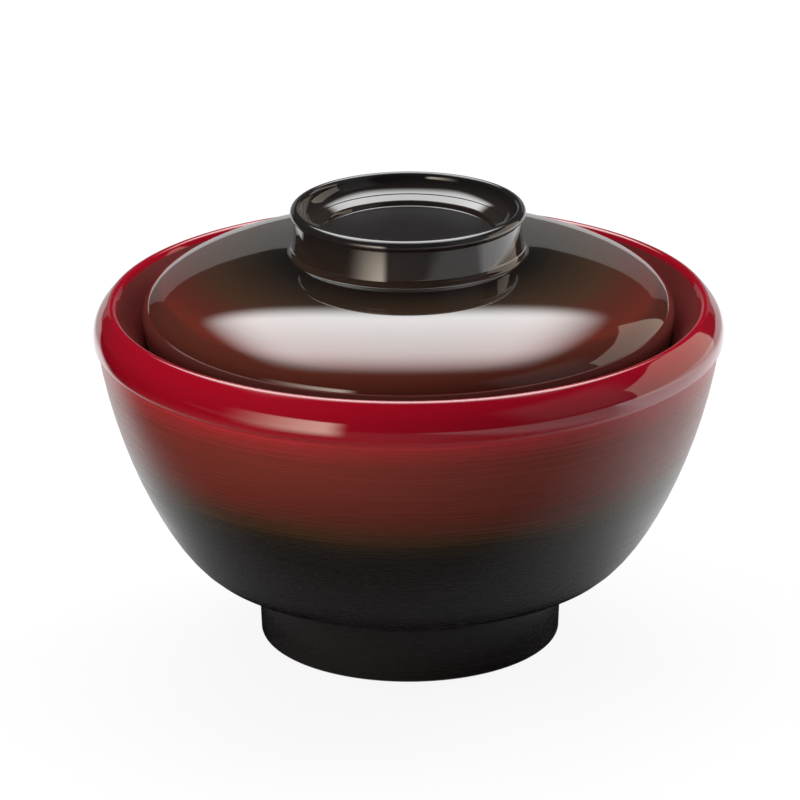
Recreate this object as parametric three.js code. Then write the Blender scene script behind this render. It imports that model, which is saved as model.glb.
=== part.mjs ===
// Insulated soup bowl with a lid, moulded in resin in the manner of a lacquered wooden bowl.
// Two shells with a foam core make the bowl, and a double-walled lid rests inside its flared lip.
// Every piece is turned about the Z axis. Millimetres, +Z up, origin on the table under the foot.
import * as THREE from 'three';

// Bowl, outside
const rimRadius = 60; // widest line of the rim band
const bowlHeight = 67; // table to the crest of the rim
const lipWidth = 3.9; // crest of the rim to its widest line, across
const bulgeDrop = 6; // crest of the rim to its widest line, down
const bulgeRise = 2.6; // how far the band stays upright above its widest line
const bandHeight = 7.8; // crest of the rim to the band's lower edge
const bandOverhang = 0.8; // widest line of the band to the shell's side under it
const bandStep = 0.2; // how far the band's lower edge stands proud of the shell's side
const undersideWidth = 9.85; // cone under the bowl, foot to belly
const undersideRise = 4.2;
const bellyTurn = 7.2; // how soon the belly turns up from the cone
const sideLean = 2.95; // outward lean of the side below the band
const sideReach = 20.7; // height over which the side keeps that lean

// Foot
const footRadius = 29.2;
const footHeight = 11; // table to the bowl's underside
const footWall = 3.2; // ring wall at the hollow's ceiling
const footDraft = 0.6; // taper of the ring's inner wall
const footTaper = 0.35; // taper of the ring's outer wall
const footStep = 1.8; // how far the hollow's ceiling hangs below the bowl's underside
const toeRound = 0.5; // rounding of the ring's lower edges
const hollowFillet = 2; // rounding where the ring meets the hollow's ceiling

// Walls and core
const shellWall = 2.2;
const linerWall = 2.2;
const sideInsulation = 4.2; // foam in the side
const baseInsulation = 4.8; // foam under the floor
const fit = 0.3; // clearance between bonded or resting faces

// Bowl, inside
const floorInset = 18; // belly's lower edge to the edge of the flat floor
const floorTurn = 16; // how soon the wall turns up from the floor
const wallLean = 2.5; // outward lean of the wall below the lip
const wallReach = 25; // height over which the wall keeps that lean
const lipHeight = 7.5; // crest of the rim down to where the lip begins to flare
const crestRound = 0.7; // rounding of the crest, on both sides
const crestFall = 0.25; // drop over that rounding, towards the band
const crestReach = 1.3; // how far the band runs on at 45 degrees below it

// Joint between the shells, and the plug of the filling hole
const tongueSet = 1.5; // shell's side to the tongue's outer face
const tongueWall = 1.6;
const rimBeadHeight = 1;
const plugStemRadius = 4.2;
const plugHeadRadius = 6.2;
const plugHeadHeight = 1;

// Lid
const seatRise = 0.4; // start of the lip's flare to the line where the lid rests
const lidWall = 2.2;
const skirtFlare = 0.65; // lid's lower edge to its widest line, across
const skirtHeight = 5; // lid's lower edge to its widest line, up
const edgeRound = 0.5; // rounding of the lid's lower edge
const domeRise = 11.6; // lid's widest line to the foot of the knob
const shoulderRise = 6.2; // how far the lid's shoulder stays upright
const crownReach = 14; // how far the crown stays flat around the knob
const crownFall = 1.2; // drop of the crown over that reach
const padThickness = 3.2; // foam in the crown
const liningWall = 1.8;
const liningDrop = 0.8; // lid's lower edge up to the lining's flange
const flangeWidth = 3.5;
const liningRise = 5.5; // how far the lining's side stays upright
const liningReach = 24; // how far the lining's crown stays flat
const lidBeadWidth = 2;
const lidBeadHeight = 1;

// Knob
const knobRadius = 22.3; // rim of the ring
const knobHeight = 9;
const knobWaist = 0.7; // how far the ring's side is drawn in
const knobWaistHeight = 6;
const knobFlare = 0.2; // how far the ring's foot stands proud of its rim
const knobRimWidth = 1.9;
const knobRimRound = 1.2;
const knobRimFall = 0.6; // top of the ring's rim to its inner edge
const knobWall = 2.4;
const recessDepth = 5.3;
const ledgeDepth = 3.6; // top of the ring's rim to the ledge inside it
const recessSlope = 2.8; // run of the dished wall, rim to ledge
const recessLean = 0.7; // lean of that wall at the rim
const ledgeWidth = 1.4; // dished wall to the edge of the well
const wellRound = 1.1; // rounding of the well's edge
const wellLean = 0.2; // lean of the well's wall

const turnSteps = 40; // facets round each piece
const pathSteps = { belly: 10, wall: 9, dome: 9, lining: 6, band: 4, knob: 3, round: 2 };

const at = (radius, height) => new THREE.Vector2(radius, height);

// Points of a smooth curve from start to end, leaving and arriving along its two handles
function bend(start, startHandle, endHandle, end, steps) {
  return new THREE.CubicBezierCurve(start, startHandle, endHandle, end).getPoints(steps);
}

// Points of a rounded corner, whose sharp corner would be at the tip
function corner(start, tip, end, steps = pathSteps.round) {
  return new THREE.QuadraticBezierCurve(start, tip, end).getPoints(steps);
}

// The same run of points, moved sideways to the left of its direction of travel
function inset(points, distance) {
  return points.map((point, index) => {
    const before = points[Math.max(index - 1, 0)];
    const after = points[Math.min(index + 1, points.length - 1)];
    const along = after.clone().sub(before).normalize();
    return at(point.x - along.y * distance, point.y + along.x * distance);
  });
}

// Point where a rising run of points passes a height
function crossing(points, height) {
  const next = points.findIndex((point) => point.y > height);
  const [low, high] = [points[next - 1], points[next]];
  return low.clone().lerp(high, (height - low.y) / (high.y - low.y));
}

const below = (points, height) => [
  ...points.filter((point) => point.y < height),
  crossing(points, height),
];

const above = (points, height) => [
  crossing(points, height),
  ...points.filter((point) => point.y > height),
];

const back = (points) => [...points].reverse();

// A solid of revolution. Its outline runs anticlockwise, with the axis on its left
function turned(name, outline, colour, roughness) {
  const startsOnAxis = outline[0].x === 0;
  const loop = startsOnAxis ? outline : [...outline, outline[0].clone()];
  const geometry = new THREE.LatheGeometry(loop, turnSteps).rotateX(Math.PI / 2);
  const material = new THREE.MeshStandardMaterial({ color: colour, roughness, metalness: 0 });
  const mesh = new THREE.Mesh(geometry, material);
  mesh.name = name;
  return mesh;
}

// Outer skin of the bowl, from the foot up to the band's lower edge
const bandFoot = bowlHeight - bandHeight;
const footTop = at(footRadius, footHeight);
const bellyEdge = at(footRadius + undersideWidth, footHeight + undersideRise);
const sideTop = at(rimRadius - bandOverhang, bandFoot);
const underside = bellyEdge.clone().sub(footTop).normalize();
const outerSkin = [
  footTop,
  ...bend(
    bellyEdge,
    bellyEdge.clone().addScaledVector(underside, bellyTurn),
    at(sideTop.x - sideLean, sideTop.y - sideReach),
    sideTop,
    pathSteps.belly,
  ),
];

// Inner skin of the bowl, from the floor's edge up to the lip
const hollowTop = footHeight - footStep;
const plateTop = hollowTop + shellWall;
const linerUnder = plateTop + fit + baseInsulation + fit;
const floorTop = linerUnder + linerWall;
const floorEdge = at(bellyEdge.x - floorInset, floorTop);
const sideWalls = shellWall + fit + sideInsulation + fit + linerWall;
const mouth = at(sideTop.x - sideWalls, bowlHeight - lipHeight);
const crest = at(rimRadius - lipWidth, bowlHeight);
const innerWall = bend(
  floorEdge,
  at(floorEdge.x + floorTurn, floorTop),
  at(mouth.x - wallLean, mouth.y - wallReach),
  mouth,
  pathSteps.wall,
);
const lipFlare = (crest.x - mouth.x) / (crest.y - mouth.y);
const lipSlant = Math.hypot(1, lipFlare); // wall measured across, over its true thickness
const lipRadius = (height) => mouth.x + (height - mouth.y) * lipFlare;
const innerSkin = [...innerWall, crest];

// Tongue of the outer shell and the groove that takes it, up under the rim
const tongueOuter = sideTop.x - tongueSet;
const tongueInner = tongueOuter - tongueWall;
const grooveInner = tongueInner - fit;
const grooveOuter = tongueOuter + fit;
const grooveTop = mouth.y + (grooveInner - mouth.x - linerWall * lipSlant) / lipFlare;
const tongueTop = grooveTop - fit - rimBeadHeight - fit;
const tongueRoot = bandFoot - shellWall;

function outerBowl() {
  const ringInner = footRadius - footWall;
  const toeInner = ringInner + footDraft;
  const toeOuter = footRadius - footTaper;
  const counterbore = plugHeadRadius + fit;
  const hole = plugStemRadius + fit;
  const shellInside = inset(outerSkin, shellWall);
  return [
    at(hole, hollowTop + plugHeadHeight),
    at(counterbore, hollowTop + plugHeadHeight),
    at(counterbore, hollowTop),
    ...corner(
      at(ringInner - hollowFillet, hollowTop),
      at(ringInner, hollowTop),
      at(ringInner, hollowTop - hollowFillet),
    ),
    ...corner(at(toeInner, toeRound), at(toeInner, 0), at(toeInner + toeRound, 0)),
    ...corner(at(toeOuter - toeRound, 0), at(toeOuter, 0), at(toeOuter, toeRound)),
    ...outerSkin,
    at(tongueOuter, bandFoot),
    at(tongueOuter, tongueTop),
    at(tongueInner, tongueTop),
    at(tongueInner, bandFoot),
    ...back(below(shellInside, tongueRoot)),
    at(ringInner, plateTop),
    at(hole, plateTop),
  ];
}

function innerBowl() {
  const linerOutside = inset(innerSkin, -linerWall);
  const bandLow = bandFoot + fit;
  const bandEdge = sideTop.x + bandStep;
  const bulge = at(rimRadius, bowlHeight - bulgeDrop);
  const lipTop = crest.y - crestRound;
  const crestOuter = crest.x + crestRound;
  const crestLow = crest.y - crestFall;
  return [
    at(0, linerUnder),
    ...below(linerOutside, grooveTop),
    at(grooveOuter, grooveTop),
    at(grooveOuter, bandLow),
    at(bandEdge, bandLow),
    ...bend(
      at(bandEdge, bandLow + bandStep),
      at(rimRadius, bandLow + bandOverhang),
      at(rimRadius, bulge.y - bandOverhang),
      bulge,
      pathSteps.band,
    ),
    ...bend(
      bulge,
      at(rimRadius, bulge.y + bulgeRise),
      at(crestOuter + crestReach, crestLow - crestReach),
      at(crestOuter, crestLow),
      pathSteps.band,
    ).slice(1),
    at(crest.x, crest.y),
    at(lipRadius(lipTop), lipTop),
    ...back(innerWall),
    at(0, floorTop),
  ];
}

function bowlInsulation() {
  const outside = inset(outerSkin, shellWall + fit);
  const inside = inset(innerSkin, -linerWall - fit);
  const top = tongueRoot;
  return [
    at(0, plateTop + fit),
    at(footRadius - footWall - fit, plateTop + fit),
    ...below(outside, top),
    ...back(below(inside, top)),
    at(0, linerUnder - fit),
  ];
}

function rimBondBead() {
  return [
    at(tongueInner, tongueTop + fit),
    at(tongueOuter, tongueTop + fit),
    at(tongueOuter, grooveTop - fit),
    at(tongueInner, grooveTop - fit),
  ];
}

function footPlug() {
  const shoulder = hollowTop + plugHeadHeight - fit;
  return [
    at(0, hollowTop),
    at(plugHeadRadius, hollowTop),
    at(plugHeadRadius, shoulder),
    at(plugStemRadius, shoulder),
    at(plugStemRadius, plateTop),
    at(0, plateTop),
  ];
}

// Outer skin of the lid, from its lower edge on the lip up to the foot of the knob
const seatHeight = mouth.y + seatRise;
const lidEdge = at(lipRadius(seatHeight) - fit * lipSlant, seatHeight);
const lidBelly = at(lidEdge.x + skirtFlare, lidEdge.y + skirtHeight);
const knobFoot = at(knobRadius + knobFlare, lidBelly.y + domeRise);
const lidSkin = [
  lidEdge,
  ...bend(
    lidBelly,
    at(lidBelly.x, lidBelly.y + shoulderRise),
    at(knobFoot.x + crownReach, knobFoot.y - crownFall),
    knobFoot,
    pathSteps.dome,
  ),
];

// Levels and radii that the lid's cover, pad and lining share
const knobTop = knobFoot.y + knobHeight;
const recessFloor = knobTop - recessDepth;
const coreRadius = knobRadius - knobWaist - knobWall;
const coreTop = recessFloor - lidWall;
const crownUnder = knobFoot.y - lidWall;
const skirtInner = lidEdge.x - lidWall;
const flangeRadius = skirtInner - fit;
const flangeUnder = lidEdge.y + liningDrop;
const flangeTop = flangeUnder + liningWall;
const liningSide = flangeRadius - flangeWidth;
const liningTop = crownUnder - fit - padThickness - fit;
const liningSkin = bend(
  at(liningSide, flangeTop),
  at(liningSide, flangeTop + liningRise),
  at(liningReach, liningTop),
  at(0, liningTop),
  pathSteps.lining,
);

function lidCover() {
  const inside = inset(lidSkin, lidWall).slice(1);
  const waist = at(knobRadius - knobWaist, knobFoot.y + knobWaistHeight);
  const rimSide = at(knobRadius, knobTop - knobRimRound);
  const rimInner = knobRadius - knobRimWidth;
  const ledge = at(rimInner - recessSlope, knobTop - ledgeDepth);
  const wellEdge = ledge.x - ledgeWidth;
  return [
    at(0, coreTop),
    at(coreRadius, coreTop),
    at(coreRadius, crownUnder),
    ...back(inside),
    at(skirtInner, lidEdge.y),
    at(lidEdge.x - edgeRound, lidEdge.y),
    at(lidEdge.x, lidEdge.y + edgeRound),
    ...lidSkin.slice(1),
    ...bend(
      at(knobFoot.x, knobFoot.y + knobFlare),
      at(waist.x, knobFoot.y + knobFlare + knobWaist),
      at(waist.x, waist.y - knobWaist),
      waist,
      pathSteps.knob,
    ),
    ...bend(
      waist,
      at(waist.x, rimSide.y - knobWaist),
      at(knobRadius, rimSide.y - knobWaist),
      rimSide,
      pathSteps.knob,
    ).slice(1),
    ...corner(rimSide, at(knobRadius, knobTop), at(knobRadius - knobRimRound, knobTop)).slice(1),
    ...corner(
      at(rimInner, knobTop - knobRimFall),
      at(rimInner - recessLean, ledge.y),
      ledge,
      pathSteps.knob,
    ),
    ...corner(
      at(wellEdge + wellRound, ledge.y),
      at(wellEdge, ledge.y),
      at(wellEdge - wellLean, recessFloor),
    ),
    at(0, recessFloor),
  ];
}

function lidLining() {
  const inside = inset(liningSkin, liningWall);
  const crown = inside.pop();
  return [
    at(0, crown.y),
    ...back(inside.slice(1)),
    at(liningSide - liningWall, flangeUnder),
    at(flangeRadius, flangeUnder),
    at(flangeRadius, flangeTop),
    ...liningSkin,
  ];
}

function lidInsulation() {
  const outside = inset(lidSkin, lidWall + fit);
  const inside = inset(liningSkin, -fit);
  const crown = inside.pop();
  const padUnder = flangeTop + fit + lidBeadHeight + fit;
  const bossRadius = coreRadius - fit;
  return [
    at(0, crown.y),
    ...back(above(inside, padUnder)),
    ...above(outside, padUnder),
    at(bossRadius, crownUnder - fit),
    at(bossRadius, coreTop - fit),
    at(0, coreTop - fit),
  ];
}

function lidBondBead() {
  const under = flangeTop + fit;
  return [
    at(flangeRadius - lidBeadWidth, under),
    at(flangeRadius, under),
    at(flangeRadius, under + lidBeadHeight),
    at(flangeRadius - lidBeadWidth, under + lidBeadHeight),
  ];
}

const bowl = new THREE.Group();
bowl.add(
  turned('outer_bowl', outerBowl(), '#3a1d18', 0.42),
  turned('inner_bowl', innerBowl(), '#a8081c', 0.16),
  turned('bowl_insulation', bowlInsulation(), '#e6d9b4', 0.95),
  turned('rim_bond_bead', rimBondBead(), '#b98a3c', 0.35),
  turned('foot_plug', footPlug(), '#1c1819', 0.45),
);

const lid = new THREE.Group();
lid.add(
  turned('lid_cover', lidCover(), '#4a1f19', 0.12),
  turned('lid_lining', lidLining(), '#5c1512', 0.2),
  turned('lid_insulation', lidInsulation(), '#e6d9b4', 0.95),
  turned('lid_bond_bead', lidBondBead(), '#b98a3c', 0.35),
);

const soupBowl = new THREE.Group();
soupBowl.add(bowl, lid);

export default soupBowl;
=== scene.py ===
import math

import bpy
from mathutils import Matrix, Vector


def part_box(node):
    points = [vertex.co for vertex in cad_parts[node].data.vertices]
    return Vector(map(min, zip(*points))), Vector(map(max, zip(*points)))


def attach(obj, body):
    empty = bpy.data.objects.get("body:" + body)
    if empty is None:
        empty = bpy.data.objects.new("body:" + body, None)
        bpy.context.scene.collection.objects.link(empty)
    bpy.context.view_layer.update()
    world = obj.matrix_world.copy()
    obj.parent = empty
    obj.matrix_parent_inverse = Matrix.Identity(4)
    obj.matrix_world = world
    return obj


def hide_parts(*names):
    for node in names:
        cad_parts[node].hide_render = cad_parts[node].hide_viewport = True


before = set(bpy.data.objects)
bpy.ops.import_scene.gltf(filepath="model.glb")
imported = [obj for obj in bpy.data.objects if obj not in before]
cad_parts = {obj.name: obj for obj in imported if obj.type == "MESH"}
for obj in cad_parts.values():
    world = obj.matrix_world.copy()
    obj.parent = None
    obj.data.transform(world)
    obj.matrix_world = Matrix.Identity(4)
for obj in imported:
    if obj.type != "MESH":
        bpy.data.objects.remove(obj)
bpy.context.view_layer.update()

# Camera: a long lens not quite a metre from the bowl, looking down on it at 20 degrees and
# leaning over by a third of a degree.
MM = 0.001
CAMERA_PLACE = (-1.7, -897.94, 378.2)
VIEW_DOWN, VIEW_LEAN = 20.28, -0.35
bpy.ops.object.select_all(action="DESELECT")
bpy.ops.object.camera_add(location=[step * MM for step in CAMERA_PLACE])
camera = bpy.context.object
camera.rotation_mode = "ZXY"
camera.rotation_euler = (math.radians(90 - VIEW_DOWN), 0, math.radians(VIEW_LEAN))
camera.data.lens = 225
camera.data.sensor_width = 36
camera.data.clip_end = 100
bpy.context.scene.camera = camera
bpy.context.scene.view_settings.view_transform = "Standard"

# Outer bowl: the shell that is held, moulded in ABS in one with its foot ring, with a tongue round
# its top edge for the rim joint. Sprayed black at the foot and brown under the rim, and brushed
# with thin rings of lacquer while it turned on a wheel.
TURN_STEPS, CURVE_STEPS = 240, 14  # faces round a full turn, and along each bend of a path
ROUND = 0.55  # handle length that makes a corner close to a circle's arc
WELD = 0.002 * MM  # points closer than this become one
EDGE_ANGLE = math.radians(40)  # sharper edges than this stay sharp to the eye


def spot(point):
    """The place of a radius and a height in millimetres, in the plane that is turned."""
    return Vector((point[0] * MM, 0, point[1] * MM))


def turned(name, path, finish):
    """A solid turned about the Z axis. Its path gives radius and height in millimetres, and runs
    anticlockwise: (end) is straight, (tip, end) a rounded corner, (handle, handle, end) a curve."""
    bpy.ops.object.select_all(action="DESELECT")
    bpy.ops.curve.primitive_bezier_curve_add(location=(0, 0, 0))
    piece = bpy.context.object
    piece.name = name
    piece.data.dimensions = "3D"
    piece.data.resolution_u = CURVE_STEPS
    spline = piece.data.splines[0]
    spline.use_cyclic_u = path[0][0] > 0
    knots = spline.bezier_points
    knots.add(len(path) - len(knots))
    bends = [step if isinstance(step[-1], tuple) else (step,) for step in path]
    for knot, bend in zip(knots, bends):
        knot.handle_left_type = knot.handle_right_type = "VECTOR"
        knot.co = spot(bend[-1])
    for index, bend in enumerate(bends):
        first, last = knots[index - 1], knots[index]
        if len(bend) > 1:
            first.handle_right_type = last.handle_left_type = "FREE"
        if len(bend) == 3:
            first.handle_right, last.handle_left = spot(bend[0]), spot(bend[1])
        elif len(bend) == 2:
            first.handle_right = first.co.lerp(spot(bend[0]), ROUND)
            last.handle_left = last.co.lerp(spot(bend[0]), ROUND)
    bpy.ops.object.convert(target="MESH")
    bpy.ops.object.mode_set(mode="EDIT")
    bpy.ops.mesh.select_all(action="SELECT")
    bpy.ops.mesh.spin(steps=TURN_STEPS, angle=math.tau, center=(0, 0, 0), axis=(0, 0, 1))
    bpy.ops.mesh.select_all(action="SELECT")
    bpy.ops.mesh.remove_doubles(threshold=WELD)
    bpy.ops.mesh.normals_make_consistent(inside=False)
    bpy.ops.object.mode_set(mode="OBJECT")
    bpy.ops.object.shade_smooth_by_angle(angle=EDGE_ANGLE)
    piece.data.materials.clear()
    piece.data.materials.append(finish)
    return piece


def span(node):
    """Radius, lowest level and highest level of a turned CAD node, in millimetres."""
    low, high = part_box(node)
    return high.x / MM, low.z / MM, high.z / MM


def linear(code):
    """The linear colour of an sRGB hex value."""
    parts = [int(code[start:start + 2], 16) / 255 for start in (1, 3, 5)]
    return [p / 12.92 if p <= 0.04045 else ((p + 0.055) / 1.055) ** 2.4 for p in parts] + [1]


def new_finish(name):
    """A new material, with its node tree and the inputs of its shader."""
    finish = bpy.data.materials.new(name)
    finish.use_nodes = True
    return finish, finish.node_tree, finish.node_tree.nodes["Principled BSDF"].inputs


def add(tree, kind, links={}, values={}, stops=(), **settings):
    """A node with its settings, its colour stops, its values and what feeds it; gives its outputs.
    Input 0 is a node's main input, and output 0 its main output."""
    node = tree.nodes.new(kind)
    for name, value in settings.items():
        setattr(node, name, value)
    if stops:
        elements = node.color_ramp.elements
        elements.remove(elements[1])
        elements[0].position, elements[0].color = stops[0][0], linear(stops[0][1])
        for place, code in stops[1:]:
            elements.new(place).color = linear(code)
    for socket, value in values.items():
        node.inputs[socket].default_value = value
    for socket, source in links.items():
        tree.links.new(source, node.inputs[socket])
    return node.outputs


rim_radius, liner_under, rim_top = span("inner_bowl")
side_radius, foot_under, tongue_top = span("outer_bowl")
BAND_HEIGHT = 7.8
side_top = rim_top - BAND_HEIGHT

# Satin lacquer: a clear coat over pigment, with a soft sheen and rings of brush marks. The marks
# are drawn half a millimetre wide, coarser than real bristles, so that they show.
RING_LENGTH, RING_WIDTH = 60, 0.5
DRIFT_LENGTH, DRIFT_WIDTH = 40, 9
RING_SHIFT, DRIFT_SHIFT = 5, 4  # how far brush marks and slow drift move the colours
brushed_lacquer, tree, shader = new_finish("satin_brushed_lacquer")
place = add(tree, "ShaderNodeTexCoord")["Object"]
height = add(tree, "ShaderNodeSeparateXYZ", {0: place})["Z"]
ring_scale = (1 / (RING_LENGTH * MM), 1 / (RING_LENGTH * MM), 1 / (RING_WIDTH * MM))
ring_place = add(tree, "ShaderNodeMapping", {0: place}, {"Scale": ring_scale})[0]
rings = add(tree, "ShaderNodeTexNoise", {0: ring_place}, {"Scale": 1, "Detail": 2})[0]
drift_scale = (1 / (DRIFT_LENGTH * MM), 1 / (DRIFT_LENGTH * MM), 1 / (DRIFT_WIDTH * MM))
drift_place = add(tree, "ShaderNodeMapping", {0: place}, {"Scale": drift_scale})[0]
drift = add(tree, "ShaderNodeTexNoise", {0: drift_place}, {"Scale": 1, "Detail": 2})[0]
raised = add(tree, "ShaderNodeMath", {0: rings, 2: height}, {1: RING_SHIFT * MM},
             operation="MULTIPLY_ADD")[0]
raised = add(tree, "ShaderNodeMath", {0: drift, 2: raised}, {1: DRIFT_SHIFT * MM},
             operation="MULTIPLY_ADD")[0]
mean_shift = (RING_SHIFT + DRIFT_SHIFT) / 2
level = add(tree, "ShaderNodeMapRange", {0: raised},
            {"From Min": mean_shift * MM, "From Max": (rim_top + mean_shift) * MM})[0]
side_colour = add(tree, "ShaderNodeValToRGB", {0: level}, stops=[
    (0.1, "#343133"), (0.3, "#292728"), (0.48, "#262424"), (0.52, "#282422"), (0.55, "#31281f"),
    (0.58, "#463020"), (0.61, "#582f22"), (0.67, "#6e2c22"), (0.75, "#793127"), (0.82, "#842f27"),
    (0.865, "#a02b2a"), (0.895, "#bc2832")])[0]
tree.links.new(side_colour, shader["Base Color"])
satin = add(tree, "ShaderNodeMapRange", {0: rings}, {"To Min": 0.20, "To Max": 0.33})[0]
tree.links.new(satin, shader["Roughness"])
shader["IOR"].default_value = 1.5
grain = add(tree, "ShaderNodeBump", {"Height": rings},
            {"Strength": 0.07, "Distance": 0.02 * MM})[0]
tree.links.new(grain, shader["Normal"])

HOLE, COUNTERBORE, HEAD_DEPTH = 4.5, 6.5, 1.0
HOLLOW_TOP, HOLLOW_FILLET, HOLE_ROUND = 9.2, 2.0, 0.2
RING_INNER, TOE_INNER = 26.0, 26.6
TOE_RADIUS, TOE_ROUND = 28.85, 0.5
FOOT_RADIUS, FOOT_TOP, NECK, NECK_RISE = 29.2, 11.0, 0.6, 0.25
BELLY, BELLY_HANDLE = (39.05, 15.2), (45.67, 18.02)
SIDE_LEAN, SIDE_REACH = 2.95, 20.7
TONGUE_OUTER, TONGUE_INNER = 57.7, 56.1
WALL_TOP, WALL_HANDLE = (56.66, 57.0), (54.07, 38.8)
WALL_BELLY, WALL_BELLY_HANDLE = (38.19, 17.22), (44.81, 20.05)
WALL_FOOT, PLATE_TOP = (28.34, 13.02), 11.4
outer_bowl = turned("brushed_outer_bowl", [
    (HOLE, HOLLOW_TOP + HEAD_DEPTH),
    (COUNTERBORE, HOLLOW_TOP + HEAD_DEPTH),
    (COUNTERBORE, HOLLOW_TOP + HOLE_ROUND),
    ((COUNTERBORE, HOLLOW_TOP), (COUNTERBORE + HOLE_ROUND, HOLLOW_TOP)),
    (RING_INNER - HOLLOW_FILLET, HOLLOW_TOP),
    ((RING_INNER, HOLLOW_TOP), (RING_INNER, HOLLOW_TOP - HOLLOW_FILLET)),
    (TOE_INNER, foot_under + TOE_ROUND),
    ((TOE_INNER, foot_under), (TOE_INNER + TOE_ROUND, foot_under)),
    (TOE_RADIUS - TOE_ROUND, foot_under),
    ((TOE_RADIUS, foot_under), (TOE_RADIUS, foot_under + TOE_ROUND)),
    (FOOT_RADIUS, FOOT_TOP - NECK),
    ((FOOT_RADIUS, FOOT_TOP), (FOOT_RADIUS + NECK, FOOT_TOP + NECK_RISE)),
    BELLY,
    (BELLY_HANDLE, (side_radius - SIDE_LEAN, side_top - SIDE_REACH), (side_radius, side_top)),
    (TONGUE_OUTER, side_top),
    (TONGUE_OUTER, tongue_top),
    (TONGUE_INNER, tongue_top),
    (TONGUE_INNER, side_top),
    WALL_TOP,
    (WALL_HANDLE, WALL_BELLY_HANDLE, WALL_BELLY),
    WALL_FOOT,
    (RING_INNER, PLATE_TOP),
    (HOLE, PLATE_TOP),
], brushed_lacquer)
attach(outer_bowl, "bowl")
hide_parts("outer_bowl")

# Bowl insulation: rigid foam poured in through the foot and set between the two shells.
# Polyurethane foam is pale and dull, and its cells, drawn 1.2 mm wide, give it a fine pitting.
CELL = 1.2
foam, tree, shader = new_finish("rigid_foam")
place = add(tree, "ShaderNodeTexCoord")["Object"]
cells = add(tree, "ShaderNodeTexVoronoi", {"Vector": place}, {"Scale": 1 / (CELL * MM)})["Distance"]
foam_colour = add(tree, "ShaderNodeValToRGB", {0: cells},
                  stops=[(0, "#d8c79a"), (0.7, "#efe6c8")])[0]
tree.links.new(foam_colour, shader["Base Color"])
pores = add(tree, "ShaderNodeBump", {"Height": cells}, {"Strength": 0.5, "Distance": 0.3 * MM})[0]
tree.links.new(pores, shader["Normal"])
shader["Roughness"].default_value = 0.9
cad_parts["bowl_insulation"].material_slots[0].material = foam

# Rim bond bead: a ring of resin run into the groove over the tongue and set hard.
# Cured resin is amber, a little cloudy and fairly glossy.
BOND_CLOUD = 4
bond, tree, shader = new_finish("cured_bonding_resin")
place = add(tree, "ShaderNodeTexCoord")["Object"]
cloud = add(tree, "ShaderNodeTexNoise", {0: place},
            {"Scale": 1 / (BOND_CLOUD * MM), "Detail": 3})[0]
bond_colour = add(tree, "ShaderNodeValToRGB", {0: cloud},
                  stops=[(0.3, "#a9792f"), (0.7, "#c99c4c")])[0]
tree.links.new(bond_colour, shader["Base Color"])
shader["Roughness"].default_value = 0.3
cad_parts["rim_bond_bead"].material_slots[0].material = bond

# Inner bowl: the shell that holds the soup, moulded in ABS with a flared lip that turns over into
# the rim band and laps the outer bowl. Gloss red on the band, dark maroon inside.
# Red lacquer: sprayed and polished to a wet gloss that mirrors the lamps, over a slight ripple. It
# thins out in brush marks and loses its polish at the crease.
BAND_SHIFT, BAND_RIPPLE = 2, 14
BAND_DULL, BAND_BRIGHT = 0.3, 1.5  # above the crease: where the polish starts, and where it is full
gloss_red, tree, shader = new_finish("gloss_red_lacquer")
place = add(tree, "ShaderNodeTexCoord")["Object"]
height = add(tree, "ShaderNodeSeparateXYZ", {0: place})["Z"]
ring_place = add(tree, "ShaderNodeMapping", {0: place}, {"Scale": ring_scale})[0]
rings = add(tree, "ShaderNodeTexNoise", {0: ring_place}, {"Scale": 1, "Detail": 2})[0]
raised = add(tree, "ShaderNodeMath", {0: rings, 2: height}, {1: BAND_SHIFT * MM},
             operation="MULTIPLY_ADD")[0]
mean_shift = BAND_SHIFT / 2
level = add(tree, "ShaderNodeMapRange", {0: raised},
            {"From Min": (side_top + mean_shift) * MM, "From Max": (rim_top + mean_shift) * MM})[0]
band_colour = add(tree, "ShaderNodeValToRGB", {0: level}, stops=[
    (0.0, "#a32d32"), (0.12, "#a31d2a"), (0.3, "#a00a22"), (1.0, "#b00824")])[0]
tree.links.new(band_colour, shader["Base Color"])
polish = add(tree, "ShaderNodeMapRange", {0: height},
             {"From Min": (side_top + BAND_DULL) * MM,
              "From Max": (side_top + BAND_BRIGHT) * MM})[0]
sheen = add(tree, "ShaderNodeMapRange", {0: polish}, {"To Min": 0.5, "To Max": 0.06})[0]
tree.links.new(sheen, shader["Roughness"])
tree.links.new(polish, shader["Coat Weight"])
shader["Coat Roughness"].default_value = 0.02
shader["Coat IOR"].default_value = 1.7
ripple = add(tree, "ShaderNodeTexNoise", {0: place},
             {"Scale": 1 / (BAND_RIPPLE * MM), "Detail": 1})[0]
flow = add(tree, "ShaderNodeBump", {"Height": ripple}, {"Strength": 0.3, "Distance": 0.2 * MM})[0]
tree.links.new(flow, shader["Normal"])
tree.links.new(flow, shader["Coat Normal"])

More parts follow.
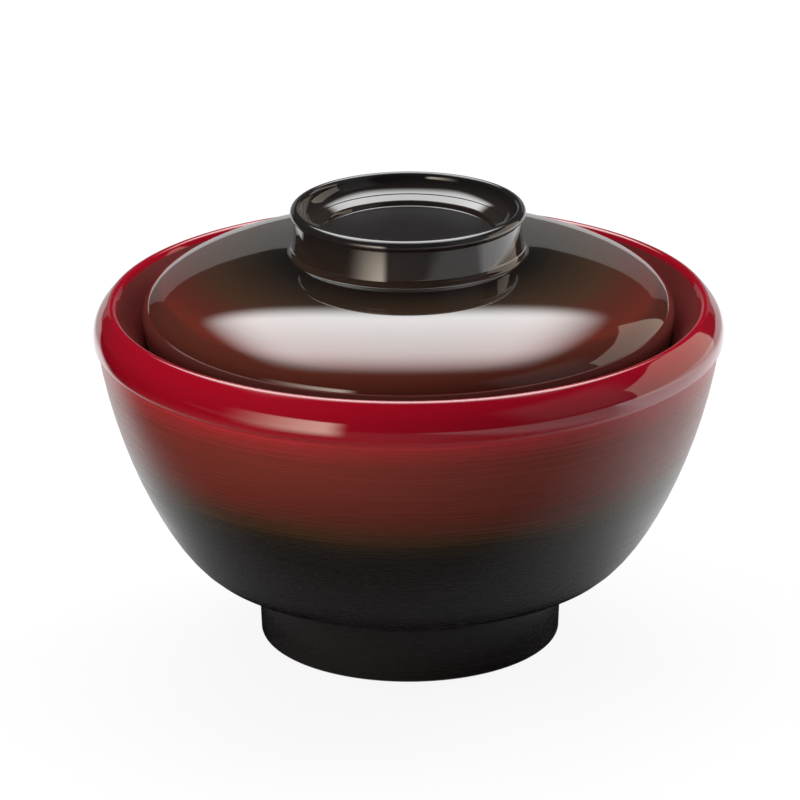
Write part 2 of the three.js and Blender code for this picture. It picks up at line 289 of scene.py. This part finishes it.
# Maroon lacquer: left satin on the lip, polished below the mouth, and a little cloudy.
LACQUER_CLOUD = 25
LIP_DULL, LIP_BRIGHT = 0.5, 3  # below the crease: where the polish starts, and where it is full
maroon, tree, shader = new_finish("satin_maroon_lacquer")
place = add(tree, "ShaderNodeTexCoord")["Object"]
height = add(tree, "ShaderNodeSeparateXYZ", {0: place})["Z"]
cloud = add(tree, "ShaderNodeTexNoise", {0: place},
            {"Scale": 1 / (LACQUER_CLOUD * MM), "Detail": 3})[0]
maroon_colour = add(tree, "ShaderNodeValToRGB", {0: cloud},
                    stops=[(0.3, "#652321"), (0.7, "#6d2725")])[0]
tree.links.new(maroon_colour, shader["Base Color"])
polish = add(tree, "ShaderNodeMapRange", {0: height},
             {"From Min": (side_top - LIP_DULL) * MM, "From Max": (side_top - LIP_BRIGHT) * MM})[0]
sheen = add(tree, "ShaderNodeMapRange", {0: polish}, {"To Min": 0.45, "To Max": 0.1})[0]
tree.links.new(sheen, shader["Roughness"])
tree.links.new(polish, shader["Coat Weight"])
shader["Coat Roughness"].default_value = 0.04
shader["Specular IOR Level"].default_value = 0.2

FLOOR_EDGE, FLOOR_TOP, FLOOR_REACH = 21.05, 19.0, 37.05
LINER_TOP, LINER_HANDLE = (52.0, 58.57), (49.69, 34.28)
GROOVE_INNER, GROOVE_OUTER, GROOVE_TOP = 55.8, 58.0, 63.14
SEAM, SEAM_OVERHANG = 0.03, 0.04
BULGE, BULGE_HANDLE, TUCK_HANDLE = rim_top - 6.0, 59.75, (59.72, 59.82)
CREST, BULGE_RISE = 56.1, 2.6
SHOULDER_HANDLE, SHOULDER = (CREST + 2.42, rim_top - 1.7), (CREST + 1.07, rim_top - 0.35)
CREST_TIP, CREST_INNER = (CREST + 0.21, rim_top + 0.48), (CREST - 0.55, rim_top - 0.44)
LIP_TOP, LIP_RED = (CREST - 0.92, rim_top - 0.91), CREST - 0.85  # inside this radius it is maroon
MOUTH_EDGE, MOUTH, MOUTH_UNDER = (50.6, 60.2), (50.0, 59.5), (49.9, 58.6)
POT_HANDLE = (47.5, 34.5)
inner_bowl = turned("red_rimmed_inner_bowl", [
    (0, liner_under),
    (FLOOR_EDGE, liner_under),
    ((FLOOR_REACH, liner_under), LINER_HANDLE, LINER_TOP),
    (GROOVE_INNER, GROOVE_TOP),
    (GROOVE_OUTER, GROOVE_TOP),
    (GROOVE_OUTER, side_top + SEAM),
    (side_radius + SEAM_OVERHANG, side_top + SEAM),
    (TUCK_HANDLE, (rim_radius, BULGE_HANDLE), (rim_radius, BULGE)),
    ((rim_radius, BULGE + BULGE_RISE), SHOULDER_HANDLE, SHOULDER),
    (CREST_TIP, CREST_INNER),
    LIP_TOP,
    MOUTH_EDGE,
    (MOUTH, MOUTH_UNDER),
    (POT_HANDLE, (FLOOR_REACH, FLOOR_TOP), (FLOOR_EDGE, FLOOR_TOP)),
    (0, FLOOR_TOP),
], gloss_red)
inner_bowl.data.materials.append(maroon)
for face in inner_bowl.data.polygons:
    if math.hypot(face.center.x, face.center.y) < LIP_RED * MM:
        face.material_index = 1
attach(inner_bowl, "bowl")
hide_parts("inner_bowl")

# Foot plug: a turned ABS button, pressed and bonded into the filling hole after the foam has set.
# Moulded ABS is evenly black with a soft sheen and a faint grit.
GRIT = 0.6
black_plug, tree, shader = new_finish("satin_black_ABS")
place = add(tree, "ShaderNodeTexCoord")["Object"]
speck = add(tree, "ShaderNodeTexNoise", {0: place}, {"Scale": 1 / (GRIT * MM), "Detail": 2})[0]
plug_colour = add(tree, "ShaderNodeValToRGB", {0: speck},
                  stops=[(0.3, "#191717"), (0.7, "#211d1d")])[0]
tree.links.new(plug_colour, shader["Base Color"])
moulded = add(tree, "ShaderNodeBump", {"Height": speck},
              {"Strength": 0.2, "Distance": 0.05 * MM})[0]
tree.links.new(moulded, shader["Normal"])
shader["Roughness"].default_value = 0.42
head_radius, head_under, stem_top = span("foot_plug")
STEM, HEAD_HEIGHT, HEAD_ROUND = 4.2, 0.7, 0.3
DIMPLE_FLOOR, DIMPLE_TURN, DIMPLE_EDGE, DIMPLE_DEPTH = 0.7, 1.3, 1.6, 0.35
foot_plug = turned("filling_hole_plug", [
    (0, head_under + DIMPLE_DEPTH),
    (DIMPLE_FLOOR, head_under + DIMPLE_DEPTH),
    ((DIMPLE_TURN, head_under + DIMPLE_DEPTH), (DIMPLE_EDGE, head_under)),
    (head_radius - HEAD_ROUND, head_under),
    ((head_radius, head_under), (head_radius, head_under + HEAD_ROUND)),
    (head_radius, head_under + HEAD_HEIGHT),
    (STEM, head_under + HEAD_HEIGHT),
    (STEM, stem_top),
    (0, stem_top),
], black_plug)
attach(foot_plug, "bowl")
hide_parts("foot_plug")

# Lid cover: the domed shell of the lid with its ring knob, moulded in one in ABS. Black at the
# knob, sprayed out to red-brown at the edge, under a deep gloss clear coat.
# Shaded lacquer: colours that melt into each other in thin rings, under a coat like still water.
LID_RING, LID_DRIFT, LID_RIPPLE = 0.9, 30, 16
LID_RING_SHIFT, LID_DRIFT_SHIFT = 2.5, 3
SHADE_START, SHADE_END = 22, 50.5
SKIRT_DULL, SKIRT_BRIGHT = 62.5, 64  # levels where the polish starts, and where it is full
KNOB_FOOT, KNOB_COLOUR_START, KNOB_COLOUR_FULL = (22.5, 76.5), 22.9, 22.4
lid_radius, lid_under, knob_top = span("lid_cover")
shaded_lacquer, tree, shader = new_finish("gloss_shaded_lacquer")
place = add(tree, "ShaderNodeTexCoord")["Object"]
height = add(tree, "ShaderNodeSeparateXYZ", {0: place})["Z"]
across = add(tree, "ShaderNodeVectorMath", {0: place}, {1: (1, 1, 0)}, operation="MULTIPLY")[0]
radius = add(tree, "ShaderNodeVectorMath", {0: across}, operation="LENGTH")["Value"]
ring_place = add(tree, "ShaderNodeCombineXYZ", {0: radius})[0]
rings = add(tree, "ShaderNodeTexNoise", {0: ring_place},
            {"Scale": 1 / (LID_RING * MM), "Detail": 2})[0]
drift = add(tree, "ShaderNodeTexNoise", {0: place}, {"Scale": 1 / (LID_DRIFT * MM), "Detail": 2})[0]
shaded = add(tree, "ShaderNodeMath", {0: rings, 2: radius}, {1: LID_RING_SHIFT * MM},
             operation="MULTIPLY_ADD")[0]
shaded = add(tree, "ShaderNodeMath", {0: drift, 2: shaded}, {1: LID_DRIFT_SHIFT * MM},
             operation="MULTIPLY_ADD")[0]
mean_shift = (LID_RING_SHIFT + LID_DRIFT_SHIFT) / 2
reach = add(tree, "ShaderNodeMapRange", {0: shaded},
            {"From Min": (SHADE_START + mean_shift) * MM,
             "From Max": (SHADE_END + mean_shift) * MM})[0]
lid_colour = add(tree, "ShaderNodeValToRGB", {0: reach}, stops=[
    (0.0, "#1c1817"), (0.12, "#231d19"), (0.35, "#3a2c20"), (0.55, "#4f3325"),
    (0.75, "#632c22"), (0.87, "#742f25"), (0.91, "#602d22")])[0]
rise = add(tree, "ShaderNodeMapRange", {0: height},
           {"From Min": KNOB_FOOT[1] * MM, "From Max": knob_top * MM})[0]
# The knob's side is painted grey-brown over its black lacquer, and lighter and browner towards its
# foot: painted reflection of the brown lid in its waisted side.
knob_painted_reflection = add(tree, "ShaderNodeValToRGB", {0: rise}, stops=[
    (0.0, "#46342a"), (0.3, "#3a2e28"), (0.7, "#302a28"), (1.0, "#272425")])[0]
on_knob = add(tree, "ShaderNodeMapRange", {0: radius},
              {"From Min": KNOB_COLOUR_START * MM, "From Max": KNOB_COLOUR_FULL * MM})[0]
cover_colour = add(tree, "ShaderNodeMix", {0: on_knob, 6: lid_colour, 7: knob_painted_reflection},
                   data_type="RGBA")[2]
tree.links.new(cover_colour, shader["Base Color"])
polish = add(tree, "ShaderNodeMapRange", {0: height},
             {"From Min": SKIRT_DULL * MM, "From Max": SKIRT_BRIGHT * MM})[0]
sheen = add(tree, "ShaderNodeMapRange", {0: polish}, {"To Min": 0.5, "To Max": 0.06})[0]
tree.links.new(sheen, shader["Roughness"])
tree.links.new(polish, shader["Coat Weight"])
shader["Coat Roughness"].default_value = 0.02
shader["Coat IOR"].default_value = 1.7
ripple = add(tree, "ShaderNodeTexNoise", {0: place},
             {"Scale": 1 / (LID_RIPPLE * MM), "Detail": 1})[0]
flow = add(tree, "ShaderNodeBump", {"Height": ripple}, {"Strength": 0.03, "Distance": 0.15 * MM})[0]
tree.links.new(flow, shader["Normal"])
tree.links.new(flow, shader["Coat Normal"])

# Black lacquer on the floor of the knob's recess: left satin, where no polishing wheel reaches.
RECESS_CLOUD = 6
satin_black, tree, shader = new_finish("satin_black_lacquer")
place = add(tree, "ShaderNodeTexCoord")["Object"]
cloud = add(tree, "ShaderNodeTexNoise", {0: place},
            {"Scale": 1 / (RECESS_CLOUD * MM), "Detail": 3})[0]
black_colour = add(tree, "ShaderNodeValToRGB", {0: cloud},
                   stops=[(0.3, "#191617"), (0.7, "#1e1a1b")])[0]
tree.links.new(black_colour, shader["Base Color"])
shader["Roughness"].default_value = 0.35
shader["Specular IOR Level"].default_value = 0.1

CORE, CORE_TOP, CROWN_UNDER, CROWN_EDGE = 19.2, 78.0, 74.3, 22.31
WALL_INNER, UNDER_HANDLES = 48.39, ((35.3, 73.2), (48.39, 69.9))
LID_EDGE, SKIRT_INNER, SKIRT_HEIGHT, SKIRT_ROUND, SKIRT_LEAN = 49.94, 47.74, 5.0, 0.5, 0.04
FLARE_HANDLE, FLARE_TOP = (50.2, 62.2), 63.6
DOME_RISE, DOME_HANDLE, DOME_TOP = 6.2, (36.5, 75.3), (23.0, 76.46)
KNOB_TURN, FILLET_HANDLES = (22.4, 76.9), ((22.0, 77.3), (21.85, 77.6))
KNOB_SIDE_LOW, KNOB_SIDE_TOP = (21.82, 78.2), (21.52, 83.2)
KNOB_RADIUS, RIM_TUCK, RIM_TUCK_OUTER = 22.3, (21.5, 83.75), 83.6
RIM_ROUND, RIM_TIP, RIM_INNER, RIM_DROP = 1.2, 20.6, 20.4, 0.6
SLOPE_HANDLES, SLOPE_FOOT = ((20.2, 83.5), (19.55, 82.6)), (18.2, 82.05)
LEDGE_OUTER, LEDGE_INNER = (18.17, 81.9), (16.65, 81.25)
WELL_TIP, WELL_TOP, WELL_FOOT = (16.4, 81.15), (16.27, 80.85), (16.12, 80.48)
RECESS_FLOOR, WELL_CORNER, WELL_FLOOR = 80.2, 16.05, 15.75
BLACK_RADIUS = 15.7  # the floor of the recess is black inside this
lid_belly = lid_under + SKIRT_HEIGHT
lid_cover = turned("shaded_lid_cover", [
    (0, CORE_TOP),
    (CORE, CORE_TOP),
    (CORE, CROWN_UNDER),
    (CROWN_EDGE, CROWN_UNDER),
    (*UNDER_HANDLES, (WALL_INNER, lid_belly)),
    (SKIRT_INNER, lid_under),
    (LID_EDGE - SKIRT_ROUND, lid_under),
    ((LID_EDGE, lid_under), (LID_EDGE + SKIRT_LEAN, lid_under + SKIRT_ROUND)),
    (FLARE_HANDLE, (lid_radius, FLARE_TOP), (lid_radius, lid_belly)),
    ((lid_radius, lid_belly + DOME_RISE), DOME_HANDLE, DOME_TOP),
    (KNOB_FOOT, KNOB_TURN),
    (*FILLET_HANDLES, KNOB_SIDE_LOW),
    KNOB_SIDE_TOP,
    (RIM_TUCK, (KNOB_RADIUS, RIM_TUCK_OUTER), (KNOB_RADIUS, knob_top - RIM_ROUND)),
    ((KNOB_RADIUS, knob_top), (KNOB_RADIUS - RIM_ROUND, knob_top)),
    ((RIM_TIP, knob_top), (RIM_INNER, knob_top - RIM_DROP)),
    (*SLOPE_HANDLES, SLOPE_FOOT),
    LEDGE_OUTER,
    LEDGE_INNER,
    (WELL_TIP, WELL_TOP),
    WELL_FOOT,
    ((WELL_CORNER, RECESS_FLOOR), (WELL_FLOOR, RECESS_FLOOR)),
    (0, RECESS_FLOOR),
], shaded_lacquer)
lid_cover.data.materials.append(satin_black)
for face in lid_cover.data.polygons:
    in_recess = math.hypot(face.center.x, face.center.y) < BLACK_RADIUS * MM
    if in_recess and face.center.z > (CORE_TOP + RECESS_FLOOR) / 2 * MM:
        face.material_index = 1
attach(lid_cover, "lid")
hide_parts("lid_cover")

# Lid insulation and lid bond bead: a foam pad laid in the cover, and the resin that holds the
# lining's flange inside the skirt.
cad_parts["lid_insulation"].material_slots[0].material = foam
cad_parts["lid_bond_bead"].material_slots[0].material = bond

# Lid lining: the smooth inner shell that faces the soup, moulded in ABS with a flange that is
# bonded inside the cover's skirt. Its red-brown lacquer is glossy, with a slight ripple.
lining_lacquer, tree, shader = new_finish("gloss_red_brown_lacquer")
place = add(tree, "ShaderNodeTexCoord")["Object"]
cloud = add(tree, "ShaderNodeTexNoise", {0: place},
            {"Scale": 1 / (LACQUER_CLOUD * MM), "Detail": 3})[0]
lining_colour = add(tree, "ShaderNodeValToRGB", {0: cloud},
                    stops=[(0.3, "#561512"), (0.7, "#631a16")])[0]
tree.links.new(lining_colour, shader["Base Color"])
shader["Roughness"].default_value = 0.2
shader["Coat Weight"].default_value = 1
shader["Coat Roughness"].default_value = 0.05
ripple = add(tree, "ShaderNodeTexNoise", {0: place},
             {"Scale": 1 / (LID_RIPPLE * MM), "Detail": 1})[0]
flow = add(tree, "ShaderNodeBump", {"Height": ripple}, {"Strength": 0.2, "Distance": 0.15 * MM})[0]
tree.links.new(flow, shader["Normal"])
flange_radius, flange_under, lining_top = span("lid_lining")
LINING_WALL, LINING_SIDE = 1.8, 43.95
INSIDE_REACH, INSIDE_HANDLE, INSIDE_EDGE, INSIDE_ROUND = 23, 66.7, 62.4, 0.5
OUTSIDE_REACH, OUTSIDE_HANDLE, FLANGE_ROUND = 24, 68.0, 0.4
lining_inside = LINING_SIDE - LINING_WALL
lid_lining = turned("lid_lining_shell", [
    (0, lining_top - LINING_WALL),
    ((INSIDE_REACH, lining_top - LINING_WALL), (lining_inside, INSIDE_HANDLE),
     (lining_inside, INSIDE_EDGE)),
    (lining_inside, flange_under + INSIDE_ROUND),
    ((lining_inside, flange_under), (lining_inside + INSIDE_ROUND, flange_under)),
    (flange_radius - FLANGE_ROUND, flange_under),
    ((flange_radius, flange_under), (flange_radius, flange_under + FLANGE_ROUND)),
    (flange_radius, flange_under + LINING_WALL),
    (LINING_SIDE, flange_under + LINING_WALL),
    ((LINING_SIDE, OUTSIDE_HANDLE), (OUTSIDE_REACH, lining_top), (0, lining_top)),
], lining_lacquer)
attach(lid_lining, "lid")
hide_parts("lid_lining")

# Floor and backdrop: pale seamless paper, wide enough for every view, and an upright grey card far
# behind. The paper shows white to the eye and in the lacquer, and throws a plain soft light.
paper, tree, shader = new_finish("pale_paper")
tree.nodes.remove(tree.nodes["Principled BSDF"])
ray = add(tree, "ShaderNodeLightPath")
seen = ray["Is Camera Ray"]
for other in ("Is Glossy Ray", "Is Transmission Ray"):
    seen = add(tree, "ShaderNodeMath", {0: seen, 1: ray[other]}, operation="MAXIMUM")[0]
bounce = add(tree, "ShaderNodeBsdfDiffuse", values={"Color": linear("#d6d6d6")})[0]
shade = add(tree, "ShaderNodeBsdfDiffuse", values={"Color": linear("#5a5a5a")})[0]
glow = add(tree, "ShaderNodeEmission", values={"Color": linear("#ffffff"), "Strength": 0.9})[0]
white = add(tree, "ShaderNodeAddShader", {0: shade, 1: glow})[0]
sheet = add(tree, "ShaderNodeMixShader", {0: seen, 1: bounce, 2: white})[0]
tree.links.new(sheet, tree.nodes["Material Output"].inputs["Surface"])
PAPER_WIDTH, CARD_WIDTH, CARD_HEIGHT, CARD_BACK = 16, 2.3, 0.71, 2.15  # in metres
bpy.ops.object.select_all(action="DESELECT")
bpy.ops.mesh.primitive_plane_add(size=PAPER_WIDTH, location=(0, 0, 0))
floor = bpy.context.object
floor.name = "paper_floor"
floor.data.materials.append(paper)
bpy.ops.object.select_all(action="DESELECT")
bpy.ops.mesh.primitive_plane_add(size=1, location=(0, CARD_BACK, CARD_HEIGHT / 2),
                                 rotation=(math.radians(90), 0, 0))
backdrop = bpy.context.object
backdrop.name = "paper_backdrop"
backdrop.scale = (CARD_WIDTH, CARD_HEIGHT, 1)
grey_card, tree, shader = new_finish("grey_card")
shader["Base Color"].default_value = linear("#808080")
shader["Roughness"].default_value = 0.9
shader["Specular IOR Level"].default_value = 0
backdrop.data.materials.append(grey_card)

# Flag: a black sheet over the paper in front of the bowl, to its left and round its foot, and a
# thin one far behind, out of the camera's sight and seen only in the lacquer. It keeps the paper's
# white out of the lacquer. Round the foot and in front it is painted shade: a dark reflection that
# stands in for the bowl's own shadow on the paper. Its edges fade out between the millimetres
# given, and it is thinner far right and far in front.
BACKWARDS, RIGHTWARDS = (0.25, 0.968, 0), (0.857, 0.515, 0)
black_cloth_painted_shade, tree, shader = new_finish("black_cloth_painted_shade")
place = add(tree, "ShaderNodeTexCoord")["Object"]
back = add(tree, "ShaderNodeVectorMath", {0: place}, {1: BACKWARDS},
           operation="DOT_PRODUCT")["Value"]
right = add(tree, "ShaderNodeVectorMath", {0: place}, {1: RIGHTWARDS},
            operation="DOT_PRODUCT")["Value"]
# Round the foot (35 to 68 mm) the sheet is painted shade: it darkens the reflected paper where the
# bowl's shadow falls.
away = add(tree, "ShaderNodeVectorMath", {0: place}, operation="LENGTH")["Value"]
along = add(tree, "ShaderNodeSeparateXYZ", {0: place})
gone = add(tree, "ShaderNodeMapRange", {0: back}, {"From Min": -58 * MM, "From Max": 18 * MM})[0]
for distance, start, end, low, high, joined in (
        (right, -100, -70, 0, 1, "MULTIPLY"),
        (away, 35, 68, 0, 1, "MULTIPLY"),
        (along["Y"], 170, 320, 1, 0.45, "MULTIPLY"),
        (along["X"], 70, 160, 0, 0.4, "MAXIMUM"),
        (along["Y"], -120, -260, 0, 0.1, "MAXIMUM")):
    edge = add(tree, "ShaderNodeMapRange", {0: distance},
               {"From Min": start * MM, "From Max": end * MM, "To Min": low, "To Max": high})[0]
    gone = add(tree, "ShaderNodeMath", {0: gone, 1: edge}, operation=joined)[0]
bare = add(tree, "ShaderNodeBsdfTransparent")[0]
shader["Base Color"].default_value = linear("#0c0c0c")
shader["Roughness"].default_value = 1
shader["Specular IOR Level"].default_value = 0
dark = tree.nodes["Principled BSDF"].outputs[0]
cloth_and_shade = add(tree, "ShaderNodeMixShader", {0: gone, 1: dark, 2: bare})[0]
tree.links.new(cloth_and_shade, tree.nodes["Material Output"].inputs["Surface"])
FLAG_WIDTH, FLAG_LEVEL = 15.9, 0.3 * MM
bpy.ops.object.select_all(action="DESELECT")
bpy.ops.mesh.primitive_plane_add(size=FLAG_WIDTH, location=(0, 0, FLAG_LEVEL))
flag = bpy.context.object
flag.name = "black_flag_painted_shade"
flag.data.materials.append(black_cloth_painted_shade)
flag.visible_camera = flag.visible_diffuse = flag.visible_shadow = flag.visible_transmission = False


# Studio light: a large overhead softbox with feathered edges, three reflector cards that show in
# the lacquer, and a soft fill from each side that doesn't. Places and sizes are in metres.
def softbox(name, place, aim, size, radiance, fade_x=(0, 0), fade_y=(0, 0), colour="#ffffff"):
    """A rectangular lamp that faces a point, with a given radiance. Each end of it can fade in over
    a share of its length."""
    bpy.ops.object.select_all(action="DESELECT")
    bpy.ops.object.light_add(type="AREA", location=place)
    lamp = bpy.context.object
    lamp.name = name
    lamp.rotation_euler = (lamp.location - Vector(aim)).to_track_quat("Z", "Y").to_euler()
    lamp.data.shape = "RECTANGLE"
    lamp.data.size, lamp.data.size_y = size
    lamp.data.color = linear(colour)[:3]
    lamp.data.energy = radiance * math.pi * size[0] * size[1]
    lamp.visible_camera = False
    lamp.data.use_nodes = True
    tree = lamp.data.node_tree
    sheet = add(tree, "ShaderNodeNewGeometry")["Parametric"]
    along = add(tree, "ShaderNodeSeparateXYZ", {0: sheet})
    level = tree.nodes["Emission"].inputs["Strength"]
    for axis, start, share in (("X", 0, fade_x[0]), ("X", 1, -fade_x[1]),
                               ("Y", 0, fade_y[0]), ("Y", 1, -fade_y[1])):
        if share:
            fade = add(tree, "ShaderNodeMapRange", {0: along[axis]},
                       {"From Min": start, "From Max": start + share},
                       interpolation_type="SMOOTHSTEP")[0]
            if level.is_linked:
                before = level.links[0].from_socket
                fade = add(tree, "ShaderNodeMath", {0: before, 1: fade}, operation="MULTIPLY")[0]
            tree.links.new(fade, level)
    return lamp


WARM = "#ffefdc"
softbox("overhead_softbox", place=(-0.08, 0.85, 1.77), aim=(-0.08, 0.85, 0), size=(2.86, 2.8),
        radiance=3.9, fade_x=(0.31, 0.31), fade_y=(0.2, 0.46))
softbox("left_card", place=(-0.1156, -0.1415, 0.0625), aim=(0, 0, 0.0625), size=(0.1425, 0.125),
        radiance=3.3, fade_x=(0.93, 0.2), fade_y=(0.4, 0.1), colour=WARM)
right_card = softbox("right_card", place=(0.33, 0.057, 0.13), aim=(0.095, -0.178, 0.13),
                     size=(0.334, 0.26), radiance=0.7, fade_y=(0.3, 0), colour=WARM)
right_card.visible_diffuse = False
front_card = softbox("front_card", place=(0.42, -0.22, 0.28), aim=(0, 0, 0.06), size=(0.56, 0.5),
                     radiance=0.11, fade_x=(0.3, 0.3), fade_y=(0.2, 0.2))
front_card.visible_diffuse = False
right_fill = softbox("right_fill", place=(0.8, 0.6, 0.45), aim=(0, 0, 0.06), size=(0.6, 0.5),
                     radiance=8)
right_fill.visible_glossy = False
left_fill = softbox("left_fill", place=(-1.0, -0.5, 1.1), aim=(0, 0, 0.05), size=(1.0, 1.0),
                    radiance=2.5)
left_fill.visible_glossy = False
world = bpy.data.worlds.new("dim_studio")
bpy.context.scene.world = world
world.use_nodes = True
world.node_tree.nodes["Background"].inputs["Color"].default_value = linear("#222222")
